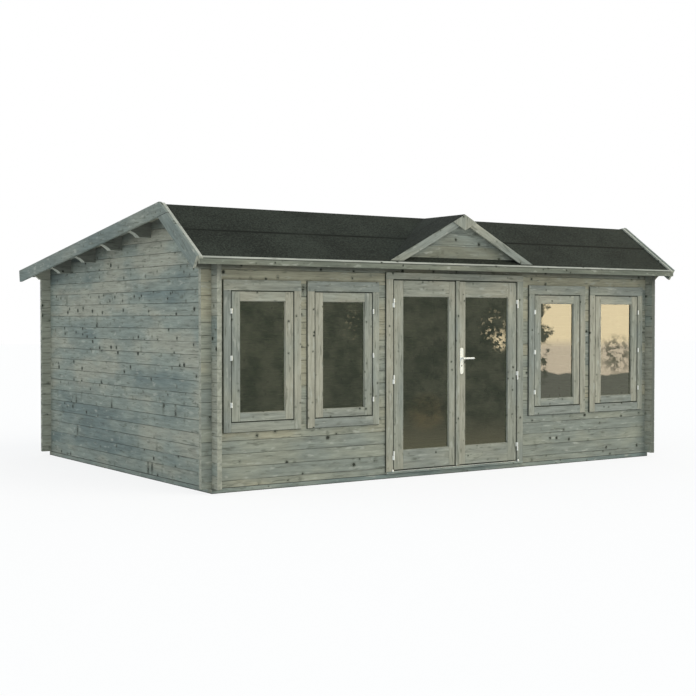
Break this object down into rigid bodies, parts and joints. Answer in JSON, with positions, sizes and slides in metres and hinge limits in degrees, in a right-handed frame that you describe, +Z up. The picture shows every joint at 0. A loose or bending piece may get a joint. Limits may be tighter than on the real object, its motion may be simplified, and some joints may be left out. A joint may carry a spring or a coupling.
{
  "type": "garden house",
  "caption": "Low log garden house with an unequal pitched roof, a small gable over a glazed double door that opens outwards, and tall windows beside it.",
  "frame": {"origin": "on the ground, at the middle of the wall plan", "axes": "+X along the front to the right as seen from outside, +Y from the front into the house, +Z up"},
  "size_m": [5.818, 4.254, 2.5278],
  "materials": {
    "log_wood": "grey-green impregnated sawn pine logs with dark knots",
    "joinery_wood": "grey-green impregnated planed pine",
    "trim_wood": "grey-green impregnated planed pine boards",
    "board_wood": "plain planed pine boards",
    "roof_felt": "mineral bitumen felt",
    "window_glass": "clear float glass",
    "bright_metal": "bright plated steel"
  },
  "bodies": {
    "house": {"back_fascia": "trim_wood", "back_wall": "log_wood", "casing_hinges": "bright_metal", "door_frame": "joinery_wood", "eave_batten": "trim_wood", "end_sills": "log_wood", "floor": "board_wood", "floor_joists": "log_wood", "front_fascia": "trim_wood", "front_left_lower": "log_wood", "front_left_piers": "log_wood", "front_right_lower": "log_wood", "front_right_piers": "log_wood", "front_wall_top": "log_wood", "gable_cover_board": "trim_wood", "gable_deck": "board_wood", "gable_face": "log_wood", "gable_felt": "roof_felt", "gable_left_bargeboard": "trim_wood", "gable_right_bargeboard": "trim_wood", "left_back_bargeboard": "trim_wood", "left_front_bargeboard": "trim_wood", "left_wall": "log_wood", "left_window_frames": "joinery_wood", "left_window_sashes": "joinery_wood", "long_sills": "log_wood", "purlins": "log_wood", "right_back_bargeboard": "trim_wood", "right_front_bargeboard": "trim_wood", "right_wall": "log_wood", "right_window_frames": "joinery_wood", "right_window_sashes": "joinery_wood", "roof_deck_back": "board_wood", "roof_deck_front": "board_wood", "roof_felt_back": "roof_felt", "roof_felt_front": "roof_felt", "threshold": "joinery_wood", "threshold_strip": "bright_metal", "verge_battens": "trim_wood", "window_glass": "window_glass", "window_hinges": "bright_metal"},
    "left_door": {"left_door_leaf": "joinery_wood", "left_door_glass": "window_glass", "left_leaf_hinges": "bright_metal"},
    "right_door": {"right_door_leaf": "joinery_wood", "right_door_glass": "window_glass", "right_leaf_hinges": "bright_metal", "handle_plates": "bright_metal", "meeting_strip": "joinery_wood"},
    "handle": {"lever_handle": "bright_metal"}
  },
  "joints": [
    {"name": "left_door_hinge", "type": "hinge", "parent": "house", "child": "left_door", "pos_m": [-0.769, -1.918, 0.073], "axis": [0, 0, -1], "range_deg": [0, 110]},
    {"name": "right_door_hinge", "type": "hinge", "parent": "house", "child": "right_door", "pos_m": [0.769, -1.918, 0.073], "axis": [0, 0, 1], "range_deg": [0, 110]},
    {"name": "handle_turn", "type": "hinge", "parent": "right_door", "child": "handle", "pos_m": [0.05, -1.918, 1.115], "axis": [0, 1, 0], "range_deg": [0, 40], "stiffness_Nm_per_rad": 1.5, "springref_deg": -22.92}
  ]
}
